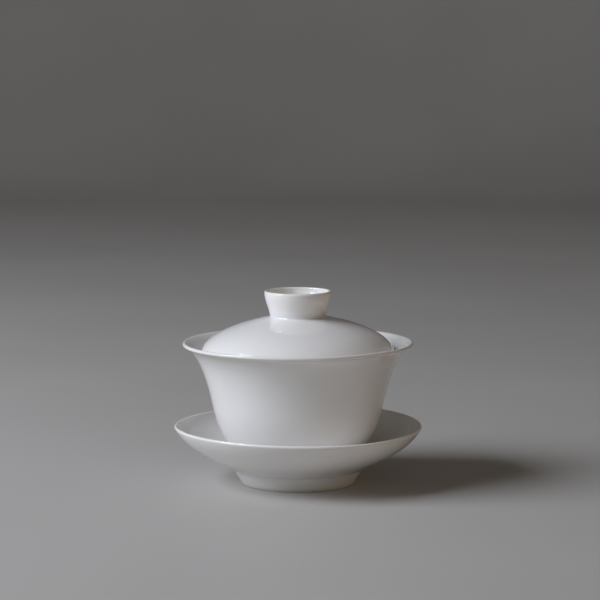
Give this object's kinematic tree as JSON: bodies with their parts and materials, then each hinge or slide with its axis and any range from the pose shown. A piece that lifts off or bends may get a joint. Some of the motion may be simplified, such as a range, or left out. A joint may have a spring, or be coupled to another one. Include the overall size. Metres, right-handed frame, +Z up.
{
  "type": "gaiwan",
  "caption": "Lidded porcelain tea bowl on a footed saucer; the domed lid with its ring knob and the flared bowl both lift off.",
  "frame": {"origin": "centre of the face that the saucer's foot ring stands on", "axes": "+Z up along the common axis of saucer, bowl and lid; the pieces are round, so +X and +Y are any two level directions"},
  "size_m": [0.1072, 0.1072, 0.0832],
  "materials": {
    "white_porcelain": "gloss"
  },
  "bodies": {
    "saucer": {"saucer": "white_porcelain"},
    "bowl": {"bowl": "white_porcelain"},
    "lid": {"lid": "white_porcelain"}
  },
  "joints": [
    {"name": "bowl_lift", "type": "slide", "parent": "saucer", "child": "bowl", "axis": [0, 0, 1], "range_m": [0, 0.06]},
    {"name": "lid_lift", "type": "slide", "parent": "bowl", "child": "lid", "axis": [0, 0, 1], "range_m": [0, 0.05]}
  ]
}
